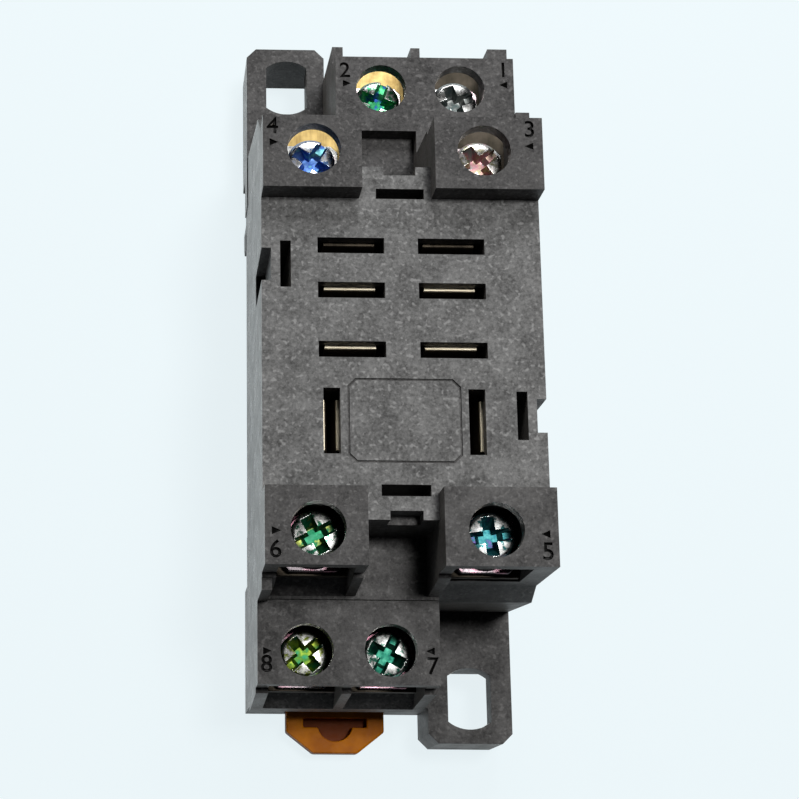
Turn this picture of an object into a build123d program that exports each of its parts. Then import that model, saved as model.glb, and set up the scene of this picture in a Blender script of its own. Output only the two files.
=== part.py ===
from build123d import *
import os

os.makedirs("parts", exist_ok=True)

# Millimetres. X to the right, Y up the face, Z out of the front; Z = 0 is the back mounting plane.

# how far a cutter runs past the surface it cuts, and a form into the one it joins
past = 1.0

# overall levels
half_width = 13.9
face_block = 30.0
face_plate = 27.3
face_tier = 19.4
seam = 7.1
cover_thick = 1.4
skin_thick = 1.3

# centre plate
plate_top = 16.15
plate_bottom = -20.2
plate_notch_half = 1.6
plate_notch_depth = 0.9
groove_floor = 17.5
groove_top = 23.9
channel_left = -4.1
channel_right = 3.15

# raised terminal blocks
block_top_high = 20.35
block_top_low = 12.75
block_low_high = -17.5
block_low_low = -25.2
block_wall_step = 26.0
block_wall_out = 0.45
block_foot_out = 1.2
block_foot_level = 18.0
shoulder_reach = 23.2
shoulder_level = 23.0
shoulder_foot = 24.4
shoulder_foot_level = 16.8
shoulder_end = 26.4
apron_top = -24.6
apron_top_level = 21.4
apron_nose = -26.5
apron_foot = -25.6
plate_tab_level = 25.0

# lower terminal tiers
tier_top_left = -5.3
tier_top_right = half_width - 0.15
tier_top_edge = 32.4
tier_top_wall = 35.0
tier_top_foot = 35.6
tier_low_right = 4.3
tier_low_high = -26.9
tier_low_edge = -35.18
tier_low_wall = -35.75
tier_low_foot = -36.5
tier_wall_step = 16.6
tier_foot_level = 7.6
join_line_width = 0.3
join_line_depth = 0.3

# outer ribs beside blocks 3 and 6
rib_thick = 1.4
rib_left_thick = 1.0
rib_set_in = 0.15
rib_top_reach = 23.1
rib_low_reach = -26.85
rib_level = 25.6

# terminal screws: number, x, y, face level, direction of the wire entry
screw_places = {
    1: (7.94, 28.8, face_tier, 1),
    2: (-0.45, 28.8, face_tier, 1),
    3: (8.05, 16.79, face_block, 1),
    4: (-8.83, 16.79, face_block, 1),
    5: (8.06, -21.66, face_block, -1),
    6: (-8.81, -21.66, face_block, -1),
    7: (-0.57, -31.7, face_tier, -1),
    8: (-8.96, -31.7, face_tier, -1),
}
access_radius = 2.65
pocket_half = 3.7
pocket_inner = 3.9
pocket_neck_in = 2.95
pocket_neck_drop = 3.8
entry_reach = 8.0
shaft_room_half = 2.05
shaft_room_depth = 6.2
ramp_inset = 0.9
ramp_top_drop = 8.6
ramp_low_drop = 10.6
ramp_cut_above = 1.5

# screw, washer and pad
head_drop = 3.1
head_radius = 2.42
head_height = 2.2
head_crown = 0.4
shaft_radius = 1.75
shaft_length = 6.5
recess_arm = 1.1
recess_span = 3.7
recess_depth = 1.3
slot_width = 0.8
slot_depth = 0.8
screw_turn = {1: 20, 2: 70, 3: 35, 4: 55, 5: 8, 6: 28, 7: 62, 8: 40}
ring_radius = 2.75
ring_height = 0.7
washer_half = 3.05
washer_corner = 0.7
washer_height = 0.8
washer_hole = 1.85
pad_thick = 0.8
pad_half = 3.5
pad_reach_high = 5.9
pad_reach_low = 3.35
pad_inner = 3.7
pad_hole = 1.8

# strips
leg_half = 1.2
leg_clear = 0.15
strip_thick = 0.8
strip_half = 1.2

# column along which each strip runs behind the face, and the row where the coil strips turn
run_column = {1: 3.7, 2: -2.3, 3: 9.9, 4: -9.9, 5: 10.2, 6: -10.2, 7: -0.57, 8: -5.6}
coil_row = -12.6

# room for the strips on the underside of the front moulding
chamber_top = 9.5
chamber_wall = 1.4
chamber_half_x = half_width - 1.5
chamber_low = -29.2
chamber_high = 26.2

# relay contacts: number, x, y, long side along X or Y
contact_places = {
    1: (5.0, 7.73, "x"),
    2: (-5.0, 7.73, "x"),
    3: (5.0, 3.06, "x"),
    4: (-5.0, 3.06, "x"),
    5: (5.0, -3.07, "x"),
    6: (-5.0, -3.07, "x"),
    7: (7.1, -10.36, "y"),
    8: (-7.1, -10.36, "y"),
}
slot_half_long = 3.32
slot_half_wide = 0.82
well_half_long = 3.5
well_half_wide = 1.45
leaf_half_long = 2.6
leaf_thick = 0.4
leaf_foot = 1.2
leaf_throat = 0.25
leaf_mouth = 0.55
leaf_top = 25.7
leaf_throat_level = 24.2
leaf_bend_level = 17.0
contact_base = 0.6

# clip slots, side slots and notches in the plate
clip_slot_half = 2.41
clip_slot_top = (12.71, 13.79)
clip_slot_low = (-17.85, -16.71)
clip_slot_depth = 5.0
side_slot_x = (10.98, 12.05)
side_slot_left_y = (3.31, 8.15)
side_slot_right_y = (-12.12, -7.22)
side_slot_depth = 9.0
edge_notch_in = 0.95
edge_notch_left_y = (3.98, 7.38)
edge_notch_right_y = (-11.35, -7.95)
edge_notch_depth = 8.0

# plain name plate outline
name_half = 5.58
name_y = (-14.54, -6.02)
name_line = 0.22
name_depth = 0.18
name_corner = 0.8

# ears
ear_left = -half_width - 0.1
ear_left_inner = -5.15
ear_right = half_width + 0.05
ear_right_inner = 5.05
ear_end = 39.75
ear_chamfer = 1.05
ear_slot_x = 9.47
ear_slot_y = 34.98
ear_slot_half = 2.3
ear_slot_reach = 3.27
ear_slot_side = 2.45
ear_plate_thick = 2.4
ear_skirt = 1.2
ear_hollow_off = 5.0

# base body
base_top_end = 35.0
base_low_end = -36.0
base_body_top = 21.6
base_body_low = -26.4

# rail channel, rail 35 mm wide
rail_low = -17.0
rail_high = 18.7
rail_depth = 4.0
hook_length = 9.0
hook_reach = 1.7
hook_level = 2.6
hook_lead = 0.8

# hollows at the ends of the channel's two sides
side_hollow_in = 1.3
side_hollow_long = 5.4
side_hollow_off = 1.0
side_hollow_level = 3.5

# rail clip
clip_centre = -4.35
clip_half = 5.3
clip_low = 0.9
clip_high = 2.75
clip_nose = -15.4
clip_nose_half = 3.6
clip_shoulder = -18.0
clip_tip = -40.5
clip_taper_start = -38.2
clip_tip_half = 2.4
clip_gap = 0.08
clip_lip = 1.0
clip_travel = 2.5
window_half = 3.45
window_y = (-37.7, -36.7)
tongue_half = 1.9
tongue_low = -39.2
window_depth = 1.4
arm_root = -21.5
arm_tip = -27.0
arm_reach = 2.2
arm_thick = 0.8
arm_width = 1.2
arm_room_half = 7.7
arm_room_gap = 0.3
arm_room_above = 0.6
arm_sink = 0.3

# base screws
base_screw_y = (4.4, -7.2)
base_screw_radius = 1.25
base_screw_head = 2.4
base_screw_cone = 1.4
base_screw_length = 12.0
base_screw_clear = 0.05
base_slot_half = 1.45
base_slot_width = 0.6
base_slot_depth = 0.8
base_screw_end_gap = 0.5
boss_half = 1.75


def box(x0, x1, y0, y1, z0, z1):
    """A box between two corners."""
    solid = Box(abs(x1 - x0), abs(y1 - y0), abs(z1 - z0))
    return Pos((x0 + x1) / 2, (y0 + y1) / 2, (z0 + z1) / 2) * solid


def cyl(x, y, z0, z1, radius):
    """A cylinder along Z between two levels."""
    return Pos(x, y, (z0 + z1) / 2) * Cylinder(radius, abs(z1 - z0))


def side_prism(points, x0, x1):
    """A Y-Z outline pulled along X from x0 to x1."""
    face = make_face(Polyline(*[(x0, y, z) for y, z in points], close=True))
    return extrude(face, amount=x1 - x0, dir=(1, 0, 0))


def flat_prism(points, z0, z1):
    """An X-Y outline pulled along Z from z0 to z1."""
    face = make_face(Polyline(*[(x, y, z0) for x, y in points], close=True))
    return extrude(face, amount=z1 - z0, dir=(0, 0, 1))


def save(shape, node):
    """Write one piece."""
    export_step(shape, "parts/" + node + ".step")


def levels(number):
    """Pad top, washer top, head bottom and head top of one terminal."""
    face = screw_places[number][2]
    head_top = face - head_drop
    head_low = head_top - head_height
    washer_top = head_low - ring_height
    pad_top = washer_top - washer_height
    return pad_top, washer_top, head_low, head_top


# The terminals: pad, leg, run and foot.


def leg_y(number):
    """Centre of a terminal's upright leg."""
    x, y, face, way = screw_places[number]
    return y - way * (pad_inner + strip_thick / 2)


def strip_run(corners):
    """Flat strip through the corners, as overlapping boxes."""
    solid = None
    for (xa, ya), (xb, yb) in zip(corners, corners[1:]):
        x0 = min(xa, xb) - strip_half
        x1 = max(xa, xb) + strip_half
        y0 = min(ya, yb) - strip_half
        y1 = max(ya, yb) + strip_half
        piece = box(x0, x1, y0, y1, seam, seam + strip_thick)
        solid = piece if solid is None else solid + piece
    return solid


def terminal(number):
    """One bent brass strip from the clamp pad to its contact's foot."""
    x, y, face, way = screw_places[number]
    pad_top = levels(number)[0]
    outer = y + pad_reach_high if way > 0 else y - pad_reach_low
    inner = y - way * (pad_inner + strip_thick)
    pad = box(x - pad_half, x + pad_half, outer, inner, pad_top - pad_thick, pad_top)
    pad -= cyl(x, y, pad_top - 2 * pad_thick, pad_top + pad_thick, pad_hole)
    middle = leg_y(number)
    leg = box(x - leg_half, x + leg_half, middle - strip_thick / 2, middle + strip_thick / 2, seam, pad_top)
    column = run_column[number]
    cx, cy, long_side = contact_places[number]
    row = coil_row if long_side == "y" else cy
    corners = [(x, middle), (column, middle), (column, row), (cx, row), (cx, cy)]
    return pad + leg + strip_run(corners)


def contact(number):
    """One spring receptacle: a foot with two leaves that close to a throat and flare at the mouth."""
    x, y, long_side = contact_places[number]
    foot_level = seam + strip_thick
    foot = box(-leaf_half_long, leaf_half_long, -leaf_foot, leaf_foot, foot_level, foot_level + contact_base)
    rise = foot_level + contact_base
    inner = [
        (leaf_foot - leaf_thick, rise - contact_base / 2),
        (leaf_foot - leaf_thick, leaf_bend_level),
        (leaf_throat, leaf_throat_level),
        (leaf_mouth, leaf_top),
    ]
    outer = [(px + leaf_thick, pz) for px, pz in reversed(inner)]
    right = side_prism(inner + outer, -leaf_half_long, leaf_half_long)
    left = mirror(right, about=Plane.XZ)
    whole = foot + right + left
    if long_side == "y":
        whole = Rot(0, 0, 90) * whole
    return Pos(x, y, 0) * whole


def washer(number):
    """Square captive washer with its lock ring."""
    x, y, face, way = screw_places[number]
    pad_top, washer_top, head_low, head_top = levels(number)
    plate = Rectangle(2 * washer_half, 2 * washer_half)
    plate = chamfer(plate.vertices(), washer_corner)
    solid = extrude(plate, amount=washer_height)
    solid = Pos(x, y, pad_top) * solid
    solid += cyl(x, y, washer_top, head_low, ring_radius)
    return solid - cyl(x, y, pad_top - past, head_low + past, washer_hole)


def screw(number):
    """Terminal screw with a combined cross and straight recess."""
    x, y, face, way = screw_places[number]
    pad_top, washer_top, head_low, head_top = levels(number)
    head = cyl(0, 0, head_low, head_top, head_radius)
    rim = head.edges().filter_by(GeomType.CIRCLE).sort_by(Axis.Z)[-1]
    head = chamfer(rim, head_crown)
    solid = head + cyl(0, 0, head_low - shaft_length, head_low, shaft_radius)
    arm = recess_arm / 2
    span = recess_span / 2
    cross = box(-span, span, -arm, arm, head_top - recess_depth, head_top + past)
    cross += box(-arm, arm, -span, span, head_top - recess_depth, head_top + past)
    solid -= cross
    half_slot = slot_width / 2
    solid -= box(-head_radius, head_radius, -half_slot, half_slot, head_top - slot_depth, head_top + past)
    return Pos(x, y, 0) * (Rot(0, 0, screw_turn[number]) * solid)


# The front moulding.


def wall_profile_block(low_edge, way):
    """End outline of a raised block's side walls: a small ledge, then a foot that leans out."""
    start = low_edge - way * past
    out = low_edge + way * block_wall_out
    foot = low_edge + way * block_foot_out
    return [
        (start, seam),
        (foot, seam),
        (foot, block_foot_level),
        (out, block_wall_step),
        (start, block_wall_step),
    ]


def housing():
    """Front moulding."""
    w = half_width
    body = box(-w, w, block_low_low, block_top_high, seam, face_tier)
    body += box(-w, w, plate_bottom, plate_top, seam, face_plate)
    for x0, x1 in ((-w, channel_left), (channel_right, w)):
        body += box(x0, x1, block_top_low, block_top_high, seam, face_block)
        body += box(x0, x1, block_low_low, block_low_high, seam, face_block)
        body += box(x0, x1, block_low_low, block_top_high, seam, face_plate)
    left_low, right_high = wall_profile_block(block_low_low, -1), wall_profile_block(block_top_high, 1)
    body += side_prism(left_low, -w, channel_left)
    body += side_prism(right_high, channel_right, w)
    shoulder = [
        (block_top_high - past, seam),
        (shoulder_end, seam),
        (shoulder_foot, shoulder_foot_level),
        (shoulder_reach, shoulder_level),
        (block_top_high + block_wall_out, block_wall_step),
        (block_top_high - past, block_wall_step),
    ]
    body += side_prism(shoulder, -w, channel_left)
    apron = [
        (block_low_low + past, seam),
        (apron_foot, seam),
        (apron_nose, block_foot_level),
        (apron_top, apron_top_level),
        (block_low_low + past, apron_top_level),
    ]
    body += side_prism(apron, channel_right, w)
    inner_wall = screw_places[5][0] - pocket_half
    body += side_prism(left_low, channel_right, inner_wall)
    # the two lower terminal tiers
    body += box(tier_top_left, tier_top_right, block_top_low, tier_top_edge, seam, face_tier)
    top_end = [
        (tier_top_edge - past, seam),
        (tier_top_foot, seam),
        (tier_top_foot, tier_foot_level),
        (tier_top_wall, tier_wall_step),
        (tier_top_edge - past, tier_wall_step),
    ]
    body += side_prism(top_end, tier_top_left, tier_top_right)
    body += box(-w, tier_low_right, tier_low_edge, block_low_high, seam, face_tier)
    low_end = [
        (tier_low_edge + past, seam),
        (tier_low_foot, seam),
        (tier_low_foot, tier_foot_level),
        (tier_low_wall, tier_wall_step),
        (tier_low_edge + past, tier_wall_step),
    ]
    body += side_prism(low_end, -w, tier_low_right)
    # channel between the blocks at both ends of the plate
    above = face_block + past
    body -= box(channel_left, channel_right, plate_top, block_top_high + past, face_tier, above)
    body -= box(channel_left, channel_right, block_low_low - past, plate_bottom, face_tier, above)
    body -= box(channel_left, channel_right, plate_top, groove_top, groove_floor, face_tier + past)
    line_top = tier_low_high + join_line_width
    body -= box(-w, tier_low_right, tier_low_high, line_top, face_tier - join_line_depth, face_tier + past)
    # ribs beside blocks 3 and 6
    rib_side = w - rib_set_in
    body += box(rib_side - rib_thick, rib_side, block_top_high - past, rib_top_reach, seam, rib_level)
    body += box(-w, -w + rib_left_thick, rib_low_reach, block_low_low + past, seam, rib_level)
    # notches in the plate's two free edges
    notch = plate_notch_half
    body -= box(-notch, notch, plate_top - plate_notch_depth, plate_top + past, face_tier, face_block)
    notch_top = plate_bottom + plate_notch_depth
    body -= box(-notch, notch, plate_bottom - past, notch_top, plate_tab_level, face_block)
    # terminal pockets, wire entries, access holes and rooms for the screw ends
    for number, (x, y, face, way) in screw_places.items():
        pad_top = levels(number)[0]
        floor = pad_top - pad_thick
        inner = y - way * (pocket_inner + strip_thick)
        outer = y + way * entry_reach
        neck = y - way * pocket_neck_in
        neck_level = face - pocket_neck_drop
        body -= box(x - pocket_half, x + pocket_half, inner, outer, floor, neck_level)
        body -= box(x - pocket_half, x + pocket_half, neck, outer, neck_level, face - cover_thick)
        body -= cyl(x, y, face - 2 * cover_thick, face + past, access_radius)
        room = shaft_room_half
        room_floor = max(floor - shaft_room_depth, seam)
        body -= box(x - room, x + room, y - room, y + room, room_floor, floor + past)
        middle = leg_y(number)
        half = strip_thick / 2 + leg_clear
        leg = leg_half + leg_clear
        body -= box(x - leg, x + leg, middle - half, middle + half, seam, floor + past)
    # wire ramps below each entry, from just inside the wall down to the foot
    ramp_feet = {
        1: (tier_top_foot, face_tier - ramp_low_drop),
        2: (tier_top_foot, face_tier - ramp_low_drop),
        3: (block_top_high + block_foot_out, face_block - ramp_low_drop),
        4: (shoulder_foot, shoulder_foot_level),
        6: (block_low_low - block_foot_out, face_block - ramp_low_drop),
        7: (tier_low_foot, face_tier - ramp_low_drop),
        8: (tier_low_foot, face_tier - ramp_low_drop),
    }
    starts = {1: tier_top_edge, 2: tier_top_edge, 3: block_top_high, 4: block_top_high}
    starts.update({6: block_low_low, 7: tier_low_edge, 8: tier_low_edge})
    for number, (reach, low) in ramp_feet.items():
        x, y, face, way = screw_places[number]
        start = starts[number] - way * ramp_inset
        high = face - ramp_top_drop
        ramp = [
            (start, high),
            (reach, low),
            (reach + way * past, low),
            (reach + way * past, high + ramp_cut_above),
            (start, high + ramp_cut_above),
        ]
        body -= side_prism(ramp, x - pocket_half, x + pocket_half)
    # relay contact wells and slots
    for x, y, long_side in contact_places.values():
        long_half, wide_half = well_half_long, well_half_wide
        slot_long, slot_wide = slot_half_long, slot_half_wide
        if long_side == "y":
            long_half, wide_half = wide_half, long_half
            slot_long, slot_wide = slot_wide, slot_long
        body -= box(x - long_half, x + long_half, y - wide_half, y + wide_half, seam, face_plate - skin_thick)
        slot_floor = face_plate - 2 * skin_thick
        body -= box(x - slot_long, x + slot_long, y - slot_wide, y + slot_wide, slot_floor, face_plate + past)
    # slots for the retaining clip
    depth = face_plate - clip_slot_depth
    top = face_plate + past
    for low, high in (clip_slot_top, clip_slot_low):
        body -= box(-clip_slot_half, clip_slot_half, low, high, depth, top)
    s0, s1 = side_slot_x
    body -= box(-s1, -s0, *side_slot_left_y, face_plate - side_slot_depth, top)
    body -= box(s0, s1, *side_slot_right_y, face_plate - side_slot_depth, top)
    n0 = w - edge_notch_in
    body -= box(-w - past, -n0, *edge_notch_left_y, face_plate - edge_notch_depth, top)
    body -= box(n0, w + past, *edge_notch_right_y, face_plate - edge_notch_depth, top)
    # name plate outline
    n_low, n_high = name_y
    middle = (n_low + n_high) / 2
    tall = n_high - n_low
    outer_face = chamfer(Rectangle(2 * name_half, tall).vertices(), name_corner)
    inner_face = Rectangle(2 * (name_half - name_line), tall - 2 * name_line)
    inner_face = chamfer(inner_face.vertices(), name_corner - name_line / 2)
    ring = Pos(0, middle, face_plate - name_depth) * extrude(outer_face - inner_face, amount=past)
    body -= ring
    # wiring chamber on the underside, with two screw bosses
    side = chamber_half_x
    wall = chamber_wall
    chamber = box(-side, side, base_body_low + wall, base_body_top - wall, seam, chamber_top)
    chamber += box(-side, tier_low_right - wall, chamber_low, base_body_low + 2 * wall, seam, chamber_top)
    chamber += box(tier_top_left + wall, side, base_body_top - 2 * wall, chamber_high, seam, chamber_top)
    half = boss_half
    for y in base_screw_y:
        chamber -= box(-half, half, y - half, y + half, seam, chamber_top)
    body -= chamber
    bore_end = rail_depth + base_screw_length + base_screw_end_gap
    for y in base_screw_y:
        body -= cyl(0, y, seam - past, bore_end, base_screw_radius + base_screw_clear)
    return body


# The back moulding and what it holds.


def ear_slot(y):
    """Cutter for a mounting slot with straight sides and shallow arc ends."""
    side = ear_slot_side
    left = Line((-ear_slot_half, side), (-ear_slot_half, -side))
    low = ThreePointArc((-ear_slot_half, -side), (0, -ear_slot_reach), (ear_slot_half, -side))
    right = Line((ear_slot_half, -side), (ear_slot_half, side))
    high = ThreePointArc((ear_slot_half, side), (0, ear_slot_reach), (-ear_slot_half, side))
    face = make_face(left + low + right + high)
    return Pos(0, y, -past) * extrude(face, amount=seam + 2 * past)


def base():
    """Back moulding with ears, rail channel and clip guide."""
    w = half_width
    c = ear_chamfer
    top_ear = [
        (ear_left, base_body_top - past),
        (ear_left, ear_end - c),
        (ear_left + c, ear_end),
        (ear_left_inner - c, ear_end),
        (ear_left_inner, ear_end - c),
        (ear_left_inner, base_body_top - past),
    ]
    low_ear = [
        (ear_right, base_body_low + past),
        (ear_right, -ear_end + c),
        (ear_right - c, -ear_end),
        (ear_right_inner + c, -ear_end),
        (ear_right_inner, -ear_end + c),
        (ear_right_inner, base_body_low + past),
    ]
    body = box(-w, w, base_body_low, base_body_top, 0, seam)
    body += box(tier_top_left, tier_top_right, base_body_top - past, base_top_end, 0, seam)
    body += box(-w, ear_right_inner, base_low_end, base_body_low + past, 0, seam)
    body += flat_prism(top_ear, 0, seam)
    body += flat_prism(low_ear, 0, seam)
    # hollow behind each ear, then the slot
    k = ear_skirt
    hollow = seam - ear_plate_thick
    far = ear_end - k
    body -= box(ear_left + k, ear_left_inner - k, base_body_top + ear_hollow_off, far, -past, hollow)
    body -= box(ear_right_inner + k, ear_right - k, -far, base_body_low - ear_hollow_off, -past, hollow)
    body -= Pos(-ear_slot_x, 0, 0) * ear_slot(ear_slot_y)
    body -= Pos(ear_slot_x, 0, 0) * ear_slot(-ear_slot_y)
    # rail channel with a fixed hook along its upper side
    body -= box(-w - past, w + past, rail_low, rail_high, -past, rail_depth)
    hook = [
        (rail_high - hook_reach, hook_lead),
        (rail_high - hook_reach + hook_lead, 0),
        (rail_high + past, 0),
        (rail_high + past, hook_level),
        (rail_high - hook_reach, hook_level),
    ]
    for x0, x1 in ((-w, -w + hook_length), (w - hook_length, w)):
        body += side_prism(hook, x0, x1)
    # clip guide: open to the back between two lips
    m = clip_centre
    low = clip_low - clip_gap
    high = clip_high + clip_gap
    guide = clip_half + clip_gap
    body -= box(m - guide, m + guide, base_low_end - past, rail_low + past, low, high)
    mouth = clip_half - clip_lip
    body -= box(m - mouth, m + mouth, base_low_end - past, rail_low + past, -past, clip_low)
    room = arm_room_half
    room_end = arm_tip - clip_travel - arm_room_gap
    body -= box(m - room, m + room, room_end, arm_root + arm_room_above, low, high)
    # hollows at the left and right ends of the channel's two sides
    start = rail_high + side_hollow_off
    for x0, x1 in ((-w - past, -w + side_hollow_in), (w - side_hollow_in, w + past)):
        body -= box(x0, x1, rail_low - side_hollow_long, rail_low + past, -past, side_hollow_level)
        body -= box(x0, x1, start, start + side_hollow_long, -past, side_hollow_level)
    # base screws, heads sunk in the channel floor
    for y in base_screw_y:
        wide = base_screw_head + base_screw_clear
        narrow = base_screw_radius + base_screw_clear
        body -= cyl(0, y, rail_depth - past, seam + past, narrow)
        cone = Cone(wide, narrow, base_screw_cone)
        body -= Pos(0, y, rail_depth + base_screw_cone / 2) * cone
    return body


def clip():
    """Sliding rail clip: nose, plate, window with a finger tongue, two spring arms."""
    c = clip_centre
    half = clip_half
    outline = [
        (c - half, clip_shoulder),
        (c - half, clip_taper_start),
        (c - clip_tip_half, clip_tip),
        (c + clip_tip_half, clip_tip),
        (c + half, clip_taper_start),
        (c + half, clip_shoulder),
    ]
    body = flat_prism(outline, clip_low, clip_high)
    nose = [
        (clip_nose, hook_lead + clip_low),
        (clip_nose - hook_lead, clip_low),
        (clip_shoulder - past, clip_low),
        (clip_shoulder - past, clip_high),
        (clip_nose, clip_high),
    ]
    body += side_prism(nose, c - clip_nose_half, c + clip_nose_half)
    low, high = window_y
    floor = clip_high - window_depth
    above = clip_high + past
    reach = tongue_half
    end = tongue_low + tongue_half
    window = box(c - window_half, c + window_half, low, high, floor, above)
    window += box(c - reach, c + reach, end, high, floor, above)
    round_end = cyl(c, end, floor, above, tongue_half)
    window += round_end - box(c - half, c + half, high, high + half, floor - past, above + past)
    body -= window
    for side in (-1, 1):
        root = c + side * (half - arm_sink)
        tip = c + side * (half + arm_reach)
        arm = [
            (root, arm_root),
            (tip, arm_tip + arm_thick),
            (tip, arm_tip),
            (tip - side * arm_thick, arm_tip),
            (root, arm_root - arm_width),
        ]
        body += flat_prism(arm, clip_low, clip_high)
    return body


def base_screw(y):
    """Countersunk screw from the channel floor into the housing."""
    cone = Cone(base_screw_head, base_screw_radius, base_screw_cone)
    solid = Pos(0, y, rail_depth + base_screw_cone / 2) * cone
    solid += cyl(0, y, rail_depth, rail_depth + base_screw_length, base_screw_radius)
    half = base_slot_half
    side = base_slot_width / 2
    return solid - box(-half, half, y - side, y + side, rail_depth - past, rail_depth + base_slot_depth)


save(housing(), "housing")
save(base(), "base")
save(clip(), "rail_clip")
save(base_screw(base_screw_y[0]), "base_screw_1")
save(base_screw(base_screw_y[1]), "base_screw_2")
for number in screw_places:
    save(terminal(number), "terminal_" + str(number))
    save(contact(number), "relay_contact_" + str(number))
    save(washer(number), "clamp_washer_" + str(number))
    save(screw(number), "terminal_screw_" + str(number))
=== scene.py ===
"""Relay socket with eight screw terminals, two slotted ears and an orange rail clip, lying on its back."""

import math

import bpy
from mathutils import Matrix, Vector


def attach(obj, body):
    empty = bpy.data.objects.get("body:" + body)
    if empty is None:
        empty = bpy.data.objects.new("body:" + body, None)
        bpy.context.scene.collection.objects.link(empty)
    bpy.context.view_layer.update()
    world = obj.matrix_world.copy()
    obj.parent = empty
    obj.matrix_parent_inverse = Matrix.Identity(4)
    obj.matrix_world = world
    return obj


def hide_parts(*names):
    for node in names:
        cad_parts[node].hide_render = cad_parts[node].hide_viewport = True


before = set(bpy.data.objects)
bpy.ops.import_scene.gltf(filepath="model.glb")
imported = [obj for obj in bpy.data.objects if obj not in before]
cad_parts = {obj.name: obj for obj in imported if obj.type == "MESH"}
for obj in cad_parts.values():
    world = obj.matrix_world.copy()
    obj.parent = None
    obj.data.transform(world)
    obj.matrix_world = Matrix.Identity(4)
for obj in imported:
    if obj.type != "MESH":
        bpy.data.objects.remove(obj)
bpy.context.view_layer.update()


# Housing
# The front moulding of charcoal thermoset plastic, with spark-textured faces and softly rounded edges; its
# outer left and right walls get a lighter colour, a painted sheen of the pale table seen at a grazing
# angle.
# Terminal numbers and pointers are sunk into the block faces with painted shade on their floors and walls,
# and the name plate is bare.
mm = 0.001
merge_distance = 0.0005 * mm
flat_angle = math.radians(0.5)
smooth_angle = math.radians(30)
housing_edge = 0.11 * mm
housing_edge_angle = math.radians(35)
plastic_dark = (0.017, 0.0165, 0.0168, 1)
plastic_light = (0.078, 0.076, 0.076, 1)
plate_dark = (0.040, 0.040, 0.040, 1)
plate_light = (0.165, 0.165, 0.165, 1)
# lighter colours of the outer walls: a painted sheen of the pale table seen at a grazing angle
side_painted_sheen_dark = (0.10, 0.099, 0.097, 1)
side_painted_sheen_light = (0.21, 0.208, 0.204, 1)
# near black: painted shade on the floors and walls of the sunk marks
sunk_painted_shade = (0.004, 0.004, 0.004, 1)
black = (0, 0, 0, 1)
white = (1, 1, 1, 1)
plastic_specular = 0.12
plastic_roughness = 0.6
side_roughness = 0.45
sheen_weight = 0.25
sheen_roughness = 0.22
sheen_tint = (1.0, 0.93, 0.86, 1)
spark_scale = 2700
cloud_scale = 380
speck_scale = 2300
speck_share = 0.5
speck_gain = 1.8
spark_depth = 0.06 * mm
mark_depth = 0.28 * mm
digit_height = 1.45 * mm
font_cap_height = 0.6
digit_boldness = 0.03 * mm
digit_steps = 4
pointer_radius = 0.589 * mm
pointer_half = 0.45 * mm
block_face = 30.0 * mm
tier_face = 19.4 * mm
plate_face = 27.3 * mm
plate_reach = 0.05 * mm
side_from = 13.5 * mm
face_on = 0.9
# for each terminal: centres of digit and pointer in mm, the way that the pointer looks, and the face
number_marks = {
    1: ((12.65, 31.0), (12.75, 29.35), -1, tier_face),
    2: ((-4.3, 30.75), (-4.25, 29.3), 1, tier_face),
    3: ((12.62, 19.04), (12.65, 17.3), -1, block_face),
    4: ((-12.94, 19.07), (-12.95, 17.4), 1, block_face),
    5: ((12.84, -23.8), (12.8, -22.05), -1, block_face),
    6: ((-12.9, -23.8), (-12.95, -21.95), 1, block_face),
    7: ((3.5, -33.3), (3.45, -31.75), -1, tier_face),
    8: ((-13.0, -33.2), (-13.05, -31.85), 1, tier_face),
}


class Wire:
    """A value on its way through a finish, so that its maths reads as plain expressions."""

    def __init__(self, finish, socket):
        self.finish = finish
        self.socket = socket

    def maths(self, operation, first, second):
        return self.finish.node("ShaderNodeMath", {"operation": operation}, {0: first, 1: second})

    def __add__(self, other):
        return self.maths("ADD", self, other)

    def __sub__(self, other):
        return self.maths("SUBTRACT", self, other)

    def __mul__(self, other):
        return self.maths("MULTIPLY", self, other)

    def __rsub__(self, other):
        return self.maths("SUBTRACT", other, self)

    def above(self, other):
        return self.maths("GREATER_THAN", self, other)

    __radd__ = __add__


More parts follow.
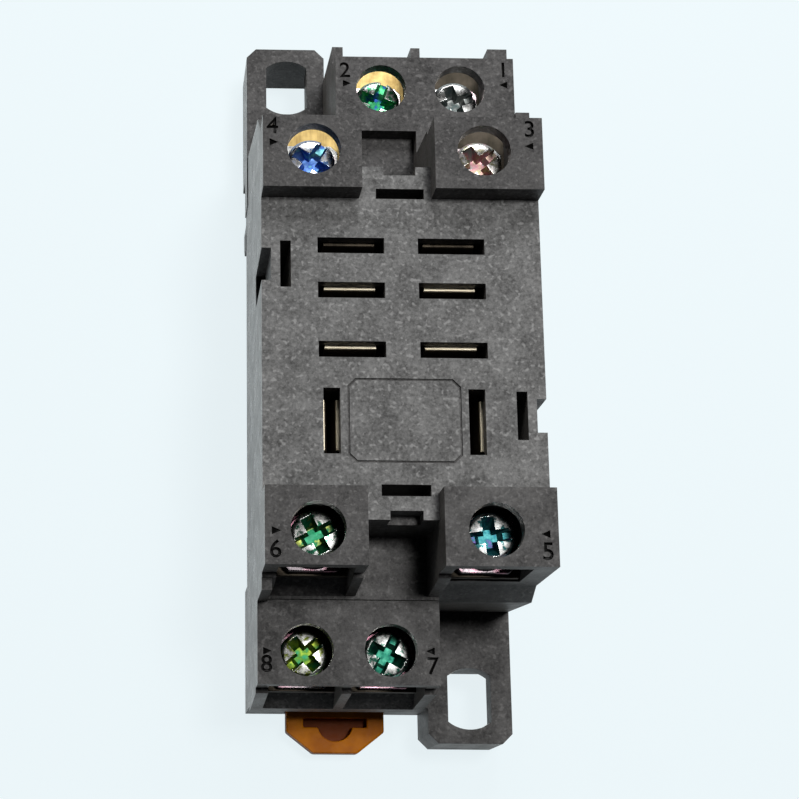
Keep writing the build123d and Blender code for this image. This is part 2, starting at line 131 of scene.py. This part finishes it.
class Finish:
    """One surface finish: its nodes are added by kind, and feed the surface shader."""

    def __init__(self, name, roughness=0.5, metallic=0.0, specular=0.5):
        self.material = bpy.data.materials.new(name)
        self.material.use_nodes = True
        self.nodes = self.material.node_tree.nodes
        self.links = self.material.node_tree.links
        self.surface = self.nodes["Principled BSDF"]
        self.surface.inputs["Roughness"].default_value = roughness
        self.surface.inputs["Metallic"].default_value = metallic
        self.surface.inputs["Specular IOR Level"].default_value = specular
        self.place = self.node("ShaderNodeTexCoord", {}, {}, "Object")

    def fill(self, socket, value):
        """Give a socket a link or a plain value."""
        if isinstance(value, Wire):
            self.links.new(value.socket, socket)
        else:
            socket.default_value = value

    def node(self, kind, settings, sockets, output=0):
        """Add a node of a kind, and return the wire from one of its outputs."""
        made = self.nodes.new(kind)
        for name, value in settings.items():
            if name == "stops":
                made.color_ramp.elements.remove(made.color_ramp.elements[1])
                made.color_ramp.elements[0].position = value[0][0]
                made.color_ramp.elements[0].color = value[0][1]
                for position, colour in value[1:]:
                    made.color_ramp.elements.new(position).color = colour
            else:
                setattr(made, name, value)
        for name, value in sockets.items():
            self.fill(made.inputs[name], value)
        return Wire(self, made.outputs[output])

    def noise(self, scale, detail=2.0, rough=0.5, where=None):
        sockets = {"Vector": where or self.place, "Scale": scale, "Detail": detail, "Roughness": rough}
        return self.node("ShaderNodeTexNoise", {}, sockets, "Fac")

    def ramp(self, value, *stops):
        return self.node("ShaderNodeValToRGB", {"stops": stops}, {"Fac": value}, "Color")

    def blend(self, factor, first, second):
        """Mix two colours: they are sockets 6 and 7 of the node, and the result is output 2."""
        settings = {"data_type": "RGBA"}
        return self.node("ShaderNodeMix", settings, {0: factor, 6: first, 7: second}, 2)

    def bump(self, height, distance, strength=1.0):
        sockets = {"Height": height, "Distance": distance, "Strength": strength}
        self.set("Normal", self.node("ShaderNodeBump", {}, sockets))

    def set(self, name, value):
        self.fill(self.surface.inputs[name], value)


def spark_plastic(name, dark, light, roughness=plastic_roughness):
    """Matte moulding with fine spark texture, cloudy patches and a few pale specks."""
    finish = Finish(name, specular=plastic_specular)
    finish.set("Sheen Weight", sheen_weight)
    finish.set("Sheen Roughness", sheen_roughness)
    finish.set("Sheen Tint", sheen_tint)
    grain = finish.noise(spark_scale, 3, 0.75)
    cloud = finish.noise(cloud_scale, 3, 0.6)
    speck = finish.ramp(finish.noise(speck_scale, 1, 0.4), (0.60, black), (0.72, white))
    tone = finish.ramp(cloud * 0.35 + grain * 0.65, (0.35, dark), (0.65, light))
    pale = (light[0] * speck_gain, light[1] * speck_gain, light[2] * speck_gain, 1)
    finish.set("Base Color", finish.blend(speck * speck_share, tone, pale))
    finish.set("Roughness", roughness - cloud * 0.3)
    finish.bump(grain * 0.7 + cloud * 0.3, spark_depth, 0.6)
    return finish.material


charcoal = spark_plastic("charcoal_spark_plastic", plastic_dark, plastic_light)
# The sunk numbers and pointers are coloured near black as painted shade.
charcoal_sunk_painted_shade = spark_plastic("charcoal_sunk_marks", sunk_painted_shade, sunk_painted_shade)
charcoal_plate = spark_plastic("charcoal_coarse_plate", plate_dark, plate_light)
# The outer walls: a lighter colour as a painted sheen, with a lower roughness.
charcoal_painted_sheen_side = spark_plastic("charcoal_side_painted_sheen", side_painted_sheen_dark, side_painted_sheen_light, side_roughness)


def pick(*objects):
    """Select these objects alone, the first one active."""
    bpy.ops.object.select_all(action="DESELECT")
    for chosen in objects:
        chosen.select_set(True)
    bpy.context.view_layer.objects.active = objects[0]


def clean_skin(node, name):
    """The moulding of a node as one merged skin of its own, with flat faces whole again."""
    skin = bpy.data.objects.new(name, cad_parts[node].data.copy())
    bpy.context.scene.collection.objects.link(skin)
    pick(skin)
    bpy.ops.object.mode_set(mode="EDIT")
    bpy.ops.mesh.select_all(action="SELECT")
    bpy.ops.mesh.remove_doubles(threshold=merge_distance)
    bpy.ops.mesh.dissolve_limited(angle_limit=flat_angle)
    bpy.ops.object.mode_set(mode="OBJECT")
    skin.data.materials.clear()
    return skin


def cut(piece, cutter):
    """Take the cutter out of the piece."""
    pick(piece)
    away = piece.modifiers.new("cut", "BOOLEAN")
    away.operation = "DIFFERENCE"
    away.solver = "EXACT"
    away.material_mode = "TRANSFER"
    away.use_self = True
    away.object = cutter
    bpy.ops.object.modifier_apply(modifier=away.name)
    bpy.data.objects.remove(cutter)


def even_out(piece):
    """Shade curved skin smooth while large flat faces stay flat to their edges."""
    pick(piece)
    bpy.ops.object.shade_smooth_by_angle(angle=smooth_angle)
    weighting = piece.modifiers.new("flats", "WEIGHTED_NORMAL")
    weighting.weight = 100
    weighting.keep_sharp = True
    bpy.ops.object.modifier_apply(modifier=weighting.name)


def select_where(piece, test):
    """Select only the corners of a piece whose place passes the test."""
    pick(piece)
    bpy.ops.object.mode_set(mode="EDIT")
    bpy.ops.mesh.select_all(action="DESELECT")
    bpy.ops.object.mode_set(mode="OBJECT")
    for corner in piece.data.vertices:
        corner.select = test(corner.co)
    bpy.ops.object.mode_set(mode="EDIT")


def soften(piece, width, angle, segments=2):
    """Round the sharp edges slightly, as a mould or a tumbler leaves them."""
    pick(piece)
    rounding = piece.modifiers.new("edges", "BEVEL")
    rounding.width = width
    rounding.segments = segments
    rounding.limit_method = "ANGLE"
    rounding.angle_limit = angle
    rounding.use_clamp_overlap = True
    bpy.ops.object.modifier_apply(modifier=rounding.name)
    even_out(piece)


def retone(piece, material, test):
    """Give the faces that pass the test another material."""
    piece.data.materials.append(material)
    for face in piece.data.polygons:
        if test(face.center, face.normal):
            face.material_index = len(piece.data.materials) - 1


def plate_top(place, facing):
    """Whether a face lies on the plate that the relay is plugged into."""
    return facing.z > face_on and abs(place.z - plate_face) < plate_reach


def outer_side(place, facing):
    """Whether a face lies on the left or right outside of the socket."""
    return abs(place.x) > side_from and abs(facing.x) > face_on


def sunk_number(number):
    """The cutter for one terminal number and its pointer."""
    (digit_x, digit_y), (tip_x, tip_y), way, face = number_marks[number]
    bpy.ops.object.select_all(action="DESELECT")
    bpy.ops.object.text_add(location=(0, 0, 0))
    digit = bpy.context.object
    digit.data.body = str(number)
    digit.data.size = digit_height / font_cap_height
    digit.data.extrude = mark_depth
    digit.data.align_x = "CENTER"
    digit.data.align_y = "CENTER"
    digit.data.resolution_u = digit_steps
    digit.data.offset = digit_boldness
    bpy.ops.object.convert(target="MESH")
    digit = bpy.context.object
    digit.data.transform(Matrix.Translation((digit_x * mm, digit_y * mm, face)))
    bpy.ops.object.select_all(action="DESELECT")
    bpy.ops.mesh.primitive_cylinder_add(vertices=3, radius=1, depth=2)
    pointer = bpy.context.object
    turn = Matrix.Rotation(-way * math.pi / 2, 4, "Z")
    size = Matrix.Diagonal((pointer_radius, pointer_half, mark_depth, 1))
    pointer.data.transform(Matrix.Translation((tip_x * mm, tip_y * mm, face)) @ size @ turn)
    pick(digit, pointer)
    bpy.ops.object.join()
    # The cutter carries the painted shade material, which the cut passes to the floors and walls of the
    # marks.
    digit.data.materials.clear()
    digit.data.materials.append(charcoal_sunk_painted_shade)
    return digit


housing = clean_skin("housing", "housing_moulding")
housing.data.materials.append(charcoal)
soften(housing, housing_edge, housing_edge_angle)
retone(housing, charcoal_plate, plate_top)
# The outer walls take the lighter colour, a painted sheen.
retone(housing, charcoal_painted_sheen_side, outer_side)
for number in number_marks:
    cut(housing, sunk_number(number))
even_out(housing)
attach(housing, "socket")
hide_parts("housing")


# Base
# The back moulding, of the same plastic, carries both ears and the rail channel.
# It is screwed on from the back.
base_edge = 0.11 * mm
base_moulding = clean_skin("base", "base_moulding")
base_moulding.data.materials.append(charcoal)
soften(base_moulding, base_edge, housing_edge_angle)
# The outer walls take the lighter colour, a painted sheen.
retone(base_moulding, charcoal_painted_sheen_side, outer_side)
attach(base_moulding, "socket")
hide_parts("base")


# Rail clip
# A springy orange moulding that slides under the base, with a sunk finger window in its end whose floor
# carries a darker painted shade.
clip_edge = 0.16 * mm
clip_dark = (0.36, 0.10, 0.0, 1)
clip_light = (0.56, 0.18, 0.0, 1)
# darker orange below the window floor: painted shade in the finger window
clip_window_painted_shade = (0.14, 0.026, 0.0, 1)
window_floor = 2.3 * mm
clip_specular = 0.08
flow_scale = 260
clip_grain_scale = 2400
clip_grain_depth = 0.02 * mm


def orange_plastic():
    """Smooth orange moulding with faint flow clouds, and painted shade below the window floor."""
    finish = Finish("orange_clip_plastic", specular=clip_specular)
    level = finish.node("ShaderNodeSeparateXYZ", {}, {"Vector": finish.place}, "Z")
    cloud = finish.noise(flow_scale, 3, 0.55)
    grain = finish.noise(clip_grain_scale, 2, 0.5)
    face = finish.ramp(cloud, (0.35, clip_dark), (0.65, clip_light))
    # Below the window floor the colour is the darker painted shade.
    finish.set("Base Color", finish.blend(level.above(window_floor), clip_window_painted_shade, face))
    finish.set("Roughness", 0.4 + grain * 0.2)
    finish.bump(grain, clip_grain_depth, 0.5)
    return finish.material


rail_clip = clean_skin("rail_clip", "rail_clip_moulding")
rail_clip.data.materials.append(orange_plastic())
soften(rail_clip, clip_edge, housing_edge_angle)
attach(rail_clip, "rail_clip")
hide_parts("rail_clip")


# Terminal strips and relay contacts
# Blanked brass strips run from each clamp pad to the spring receptacle that holds a relay blade.
# Two strips show bright in the screw holes, and the other six are darkened with painted shade. Most
# contacts show a bright edge in the plate's slots: below that edge, and on the two contacts of the first
# row, the colour is painted shade.
strip_edge = 0.06 * mm
brass_dark = (0.15, 0.10, 0.035, 1)
brass_light = (0.34, 0.25, 0.10, 1)
# a darkened copy of the brass: painted shade for the strips of terminals 1, 3 and 5 to 8
painted_shade_brass_dark = (0.018, 0.016, 0.012, 1)
painted_shade_brass_light = (0.045, 0.038, 0.03, 1)
painted_shade_numbers = (1, 3, 5, 6, 7, 8)
# painted shade for the lower part of each contact, down in the plate's slot
strip_painted_shade = (0.12, 0.10, 0.075, 1)
contact_lip = 25.55 * mm
contact_dark = (0.84, 0.74, 0.56, 1)
contact_light = (0.95, 0.87, 0.68, 1)
# the two contacts of the first row are painted shade all over
painted_shade_contacts = (1, 2)
strip_roughness = 0.3
dull_roughness = 0.42
contact_roughness = 0.4
line_squeeze = (1, 0.12, 1)
line_scale = 5200
line_depth = 0.004 * mm
tarnish_scale = 520


def rolled_metal(name, dark, light, roughness, bright_from=0.0):
    """Rolled strip with fine lines and a little tarnish, with painted shade below the height bright_from.
    """
    finish = Finish(name, metallic=1.0)
    stretch = finish.node("ShaderNodeMapping", {}, {"Vector": finish.place, "Scale": line_squeeze})
    lines = finish.noise(line_scale, 2, 0.6, stretch)
    tarnish = finish.noise(tarnish_scale, 3, 0.6)
    clean = finish.ramp(tarnish * 0.7 + lines * 0.3, (0.35, dark), (0.62, light))
    level = finish.node("ShaderNodeSeparateXYZ", {}, {"Vector": finish.place}, "Z")
    finish.set("Base Color", finish.blend(level.above(bright_from), strip_painted_shade, clean))
    finish.set("Roughness", roughness + lines * 0.15)
    finish.bump(lines, line_depth, 0.5)
    return finish.material


strip_metal = rolled_metal("terminal_strip_brass", brass_dark, brass_light, strip_roughness)
# The same brass darkened as painted shade, for the strips that lie in shadow.
painted_shade_brass = rolled_metal("strip_brass_painted_shade", painted_shade_brass_dark, painted_shade_brass_light, dull_roughness)
# Contacts are bright above the lip height and painted shade below it.
contact_metal = rolled_metal(
    "relay_contact_bronze", contact_dark, contact_light, contact_roughness, contact_lip
)
# A darkened copy of the contact bronze: painted shade for the first-row contacts.
contact_painted_shade = rolled_metal("contact_bronze_painted_shade", painted_shade_brass_light, strip_painted_shade, contact_roughness)
for number in number_marks:
    # Strips in shadow take the painted shade copy of the brass.
    pad_metal = painted_shade_brass if number in painted_shade_numbers else strip_metal
    blade_metal = contact_painted_shade if number in painted_shade_contacts else contact_metal
    for kind, metal, slot in (
        ("terminal_", pad_metal, "brass_strip"),
        ("relay_contact_", blade_metal, "brass_contact"),
    ):
        strip = clean_skin(kind + str(number), kind + str(number) + "_strip")
        strip.data.materials.append(metal)
        soften(strip, strip_edge, housing_edge_angle, 1)
        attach(strip, "socket")
        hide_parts(kind + str(number))


# Clamp washers
# Square zinc plated washers, each held on its screw, whose underside grips the wire. The washers of
# terminals 5 to 8 take a darkened copy of the zinc: painted shade.
washer_edge = 0.14 * mm
zinc_pale = (0.66, 0.66, 0.64, 1)
zinc_deep = (0.20, 0.21, 0.22, 1)
zinc_rose = (0.80, 0.55, 0.62, 1)
# a darkened copy of the zinc, its rose stain kept: painted shade for the washers of terminals 5 to 8
painted_shade_zinc_deep = (0.03, 0.028, 0.03, 1)
painted_shade_zinc_pale = (0.07, 0.06, 0.065, 1)
painted_shade_zinc_rose = (0.26, 0.12, 0.16, 1)
painted_shade_washers = (5, 6, 7, 8)
stain_scale = 330
zinc_grain_scale = 4200
zinc_grain_depth = 0.006 * mm


def plain_zinc(name, deep, pale, rose):
    """Zinc with a faint rose stain."""
    finish = Finish(name, metallic=1.0)
    stain = finish.noise(stain_scale, 3, 0.6)
    grain = finish.noise(zinc_grain_scale, 2, 0.5)
    finish.set("Base Color", finish.ramp(stain, (0.34, deep), (0.5, pale), (0.66, rose)))
    finish.set("Roughness", 0.2 + grain * 0.16)
    finish.bump(grain, zinc_grain_depth, 0.5)
    return finish.material


bright_zinc = plain_zinc("bright_zinc", zinc_deep, zinc_pale, zinc_rose)
# The same zinc darkened as painted shade, for the washers that lie in shadow.
washer_zinc_painted_shade = plain_zinc("zinc_with_painted_shade", painted_shade_zinc_deep, painted_shade_zinc_pale, painted_shade_zinc_rose)
for number in number_marks:
    washer = clean_skin("clamp_washer_" + str(number), "clamp_washer_" + str(number) + "_plate")
    # Washers in shadow take the painted shade copy of the zinc.
    washer.data.materials.append(washer_zinc_painted_shade if number in painted_shade_washers else bright_zinc)
    soften(washer, washer_edge, housing_edge_angle)
    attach(washer, "washer_" + str(number))
    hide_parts("clamp_washer_" + str(number))


# Terminal screws
# Pan head machine screws with a combined cross and straight recess, zinc plated and passivated.
# The passivation is a thin film: it shows as green, blue, straw or rose, stronger in the recess.
head_radius = 2.42 * mm
head_height = 2.2 * mm
head_crown = 0.42 * mm
head_edge = 0.05 * mm
head_edge_angle = math.radians(40)
head_steps = 64
shank_length = 6.5 * mm
thread_radius = 1.74 * mm
core_radius = 1.42 * mm
thread_pitch = 0.6 * mm
thread_half_share = 0.42
thread_root = 0.05 * mm
thread_start = 0.3 * mm
thread_steps = 24
core_steps = 32
recess_depth = 1.3 * mm
recess_top_span = 1.98 * mm
recess_floor_span = 0.9 * mm
recess_top_half = 0.62 * mm
recess_floor_half = 0.36 * mm
slot_half = 0.36 * mm
slot_depth = 0.75 * mm
slot_overrun = 1.05
slot_taper = 0.9
recess_rise = 0.5 * mm
head_drop = 3.1 * mm
crown_slope = 0.14
crown_ripple = 0.014
drift_scale = 900
band_scale = 1700
film_white = (0.74, 0.74, 0.73, 1)
# for each terminal: place in mm, face, turn of the recess in degrees, and three colours of the film
screw_looks = {
    1: (7.94, 28.8, tier_face, 20, (0.16, 0.18, 0.18, 1), (0.40, 0.42, 0.41, 1), (0.10, 0.14, 0.14, 1)),
    2: (-0.45, 28.8, tier_face, 70, (0.03, 0.30, 0.10, 1), (0.10, 0.50, 0.24, 1), (0.03, 0.09, 0.34, 1)),
    3: (8.05, 16.79, block_face, 35, (0.52, 0.26, 0.30, 1), (0.42, 0.40, 0.26, 1), (0.30, 0.32, 0.30, 1)),
    4: (-8.83, 16.79, block_face, 55, (0.05, 0.12, 0.42, 1), (0.16, 0.30, 0.62, 1), (0.16, 0.42, 0.46, 1)),
    5: (8.06, -21.66, block_face, 8, (0.012, 0.09, 0.11, 1), (0.05, 0.20, 0.21, 1), (0.08, 0.06, 0.18, 1)),
    6: (-8.81, -21.66, block_face, 28, (0.01, 0.11, 0.05, 1), (0.03, 0.16, 0.09, 1), (0.26, 0.30, 0.08, 1)),
    7: (-0.57, -31.7, tier_face, 62, (0.01, 0.09, 0.06, 1), (0.04, 0.19, 0.13, 1), (0.01, 0.05, 0.05, 1)),
    8: (-8.96, -31.7, tier_face, 40, (0.05, 0.13, 0.02, 1), (0.24, 0.30, 0.04, 1), (0.02, 0.14, 0.07, 1)),
}


def film_zinc(number, x, y, face, deep, middle, patch):
    """Passivated zinc: pale on the crown, and stained by the film in and around the recess."""
    finish = Finish("passivated_zinc_" + str(number), metallic=1.0)
    level = finish.node("ShaderNodeSeparateXYZ", {}, {"Vector": finish.place}, "Z")
    sunk = (face - head_drop - level) * (1 / recess_depth)
    drift = finish.noise(drift_scale, 3, 0.6)
    band = finish.noise(band_scale, 2, 0.7)
    film = finish.ramp(drift, (0.36, patch), (0.46, deep), (0.60, middle))
    crown = finish.ramp(band, (0.40, middle), (0.50, film_white), (0.66, film_white))
    depth = finish.ramp(sunk + band * 0.3, (0.16, black), (0.26, white))
    finish.set("Base Color", finish.blend(depth, crown, film))
    finish.set("Roughness", 0.16 + band * 0.2 + depth * 0.22)
    away_x = finish.node("ShaderNodeSeparateXYZ", {}, {"Vector": finish.place}, "X") - x * mm
    away_y = finish.node("ShaderNodeSeparateXYZ", {}, {"Vector": finish.place}, "Y") - y * mm
    dome = (away_x * away_x + away_y * away_y) * (-crown_slope / head_radius)
    finish.bump(dome + band * crown_ripple * mm, 1.0)
    return finish.material


def recess_arm(top_span, top_half, floor_span, floor_half, depth):
    """Tapered wedge that cuts one bar of the recess, open above the head."""
    bpy.ops.object.select_all(action="DESELECT")
    bpy.ops.mesh.primitive_cube_add(size=2)
    arm = bpy.context.object
    for corner in arm.data.vertices:
        upper = corner.co.z > 0
        corner.co.x *= top_span if upper else floor_span
        corner.co.y *= top_half if upper else floor_half
        corner.co.z = 0 if upper else -depth
    select_where(arm, lambda place: place.z > -0.5 * depth)
    bpy.ops.mesh.extrude_region_move(TRANSFORM_OT_translate={"value": (0, 0, recess_rise)})
    bpy.ops.object.mode_set(mode="OBJECT")
    return arm


def screw_head():
    """Crowned head with its recess cut, its top at Z = 0."""
    bpy.ops.object.select_all(action="DESELECT")
    bpy.ops.mesh.primitive_cylinder_add(vertices=head_steps, radius=head_radius, depth=head_height)
    head = bpy.context.object
    head.data.transform(Matrix.Translation((0, 0, -head_height / 2)))
    select_where(head, lambda place: place.z > -0.5 * head_height)
    bpy.ops.mesh.bevel(offset=head_crown, segments=5, profile=0.55, affect="EDGES")
    bpy.ops.object.mode_set(mode="OBJECT")
    cross = (recess_top_span, recess_top_half, recess_floor_span, recess_floor_half, recess_depth)
    cut(head, recess_arm(*cross))
    across = recess_arm(*cross)
    across.data.transform(Matrix.Rotation(math.pi / 2, 4, "Z"))
    cut(head, across)
    wide = head_radius * slot_overrun
    cut(head, recess_arm(wide, slot_half, wide, slot_half * slot_taper, slot_depth))
    soften(head, head_edge, head_edge_angle)
    return head


def screw_shank():
    """Threaded shank below the head: a core with one helical ridge."""
    bpy.ops.object.select_all(action="DESELECT")
    bpy.ops.mesh.primitive_cylinder_add(vertices=core_steps, radius=core_radius, depth=shank_length)
    core = bpy.context.object
    core.data.transform(Matrix.Translation((0, 0, -head_height - shank_length / 2)))
    turns = int(shank_length / thread_pitch) - 1
    ridge_data = bpy.data.meshes.new("thread_ridge")
    low = -head_height - shank_length + thread_start
    inner = core_radius - thread_root
    half = thread_pitch * thread_half_share
    points = [(inner, 0, low), (thread_radius, 0, low + half), (inner, 0, low + 2 * half)]
    ridge_data.from_pydata(points, [(0, 1), (1, 2), (2, 0)], [])
    ridge = bpy.data.objects.new("thread_ridge", ridge_data)
    bpy.context.scene.collection.objects.link(ridge)
    pick(ridge)
    winding = ridge.modifiers.new("winding", "SCREW")
    winding.axis = "Z"
    winding.steps = thread_steps
    winding.render_steps = thread_steps
    winding.iterations = turns
    winding.screw_offset = thread_pitch
    winding.use_merge_vertices = False
    bpy.ops.object.modifier_apply(modifier=winding.name)
    bpy.ops.object.mode_set(mode="EDIT")
    bpy.ops.mesh.select_all(action="SELECT")
    bpy.ops.mesh.fill_holes(sides=3)
    bpy.ops.mesh.select_all(action="SELECT")
    bpy.ops.mesh.normals_make_consistent(inside=False)
    bpy.ops.object.mode_set(mode="OBJECT")
    pick(core, ridge)
    bpy.ops.object.join()
    return core


pattern_screw = screw_head()
shank = screw_shank()
pick(pattern_screw, shank)
bpy.ops.object.join()
bpy.ops.object.shade_smooth_by_angle(angle=housing_edge_angle)
for number, (x, y, face, turn, deep, middle, patch) in screw_looks.items():
    data = pattern_screw.data.copy()
    place = Matrix.Translation((x * mm, y * mm, face - head_drop))
    data.transform(place @ Matrix.Rotation(math.radians(turn), 4, "Z"))
    data.materials.clear()
    data.materials.append(film_zinc(number, x, y, face, deep, middle, patch))
    screw = bpy.data.objects.new("terminal_screw_" + str(number) + "_pan_head", data)
    bpy.context.scene.collection.objects.link(screw)
    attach(screw, "screw_" + str(number))
    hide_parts("terminal_screw_" + str(number))
bpy.data.objects.remove(pattern_screw)


# Base screws
# Two small countersunk screws, flush with the floor of the rail channel.
base_screw_edge = 0.05 * mm
for number in (1, 2):
    screw = clean_skin("base_screw_" + str(number), "base_screw_" + str(number) + "_flush")
    screw.data.materials.append(bright_zinc)
    soften(screw, base_screw_edge, housing_edge_angle, 1)
    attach(screw, "socket")
    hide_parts("base_screw_" + str(number))


# Table and backdrop
# One pale blue-white surface that the socket lies on.
# Camera and mirrors see most of it as its own plain glow, and the rest keeps the shadow.
table_half = 3.0
table_drop = 0.05 * mm
table_roughness = 0.9
table_specular = 0.1
table_colour = (0.86, 0.93, 0.96, 1)
table_glow = (0.84, 0.925, 0.955, 1)
glow_share = 0.92
bpy.ops.object.select_all(action="DESELECT")
bpy.ops.mesh.primitive_plane_add(size=2 * table_half, location=(0, 0, -table_drop))
table = bpy.context.object
table.name = "table"
table_finish = Finish("pale_table", roughness=table_roughness, specular=table_specular)
table_finish.set("Base Color", table_colour)
rays = table_finish.node("ShaderNodeLightPath", {}, {}, "Is Camera Ray")
for ray in ("Is Glossy Ray", "Is Transmission Ray"):
    rays = rays + table_finish.node("ShaderNodeLightPath", {}, {}, ray)
glow = table_finish.node("ShaderNodeEmission", {}, {"Color": table_glow, "Strength": 1.0})
lit = Wire(table_finish, table_finish.surface.outputs["BSDF"])
mixed = table_finish.node("ShaderNodeMixShader", {}, {0: rays * glow_share, 1: lit, 2: glow})
table_finish.links.new(mixed.socket, table_finish.nodes["Material Output"].inputs["Surface"])
table.data.materials.append(table_finish.material)


# Light
# One soft box high in front, to the upper right, a small one beyond the top end, and a dim pale room.
room_colour = (0.88, 0.94, 1.0, 1)
room_strength = 0.03


def lamp(name, place, aim, size, watts, colour):
    """Square soft box at a place, looking at a point. Lengths are in metres."""
    data = bpy.data.lights.new(name, "AREA")
    data.energy = watts
    data.size = size
    data.color = colour
    box = bpy.data.objects.new(name, data)
    bpy.context.scene.collection.objects.link(box)
    box.location = place
    box.rotation_euler = (Vector(aim) - Vector(place)).to_track_quat("-Z", "Y").to_euler()


lamp("key", place=(0.13, 0.06, 0.62), aim=(0, 0, 0.02), size=0.14, watts=2.9, colour=(1.0, 0.99, 0.97))
lamp("top fill", place=(0.02, 0.17, 0.16), aim=(0, 0.01, 0.02), size=0.09, watts=0.34, colour=(1, 1, 1))
world = bpy.data.worlds.new("room")
bpy.context.scene.world = world
world.use_nodes = True
world.node_tree.nodes["Background"].inputs["Color"].default_value = room_colour
world.node_tree.nodes["Background"].inputs["Strength"].default_value = room_strength


# Camera
# In front of the socket, a little below and to its left, with the frame shifted as the photograph is cut.
camera_place = (-25.44 * mm, -56.13 * mm, 183.967 * mm)
camera_right = (0.99982183, 0.00664004, 0.01766968)
camera_up = (-0.01006593, 0.97943441, 0.20151158)
camera_back = (-0.01596824, -0.20165354, 0.97932674)
sensor_width = 36
lens_length = 75.53
shift_right = 0.2887
shift_up = 0.1945
near_clip = 0.005
camera_data = bpy.data.cameras.new("camera")
camera_data.sensor_width = sensor_width
camera_data.lens = lens_length
camera_data.shift_x = shift_right
camera_data.shift_y = shift_up
camera_data.clip_start = near_clip
camera = bpy.data.objects.new("camera", camera_data)
bpy.context.scene.collection.objects.link(camera)
turned = Matrix((camera_right, camera_up, camera_back)).transposed().to_4x4()
camera.matrix_world = Matrix.Translation(camera_place) @ turned
bpy.context.scene.camera = camera
bpy.context.scene.view_settings.view_transform = "Standard"
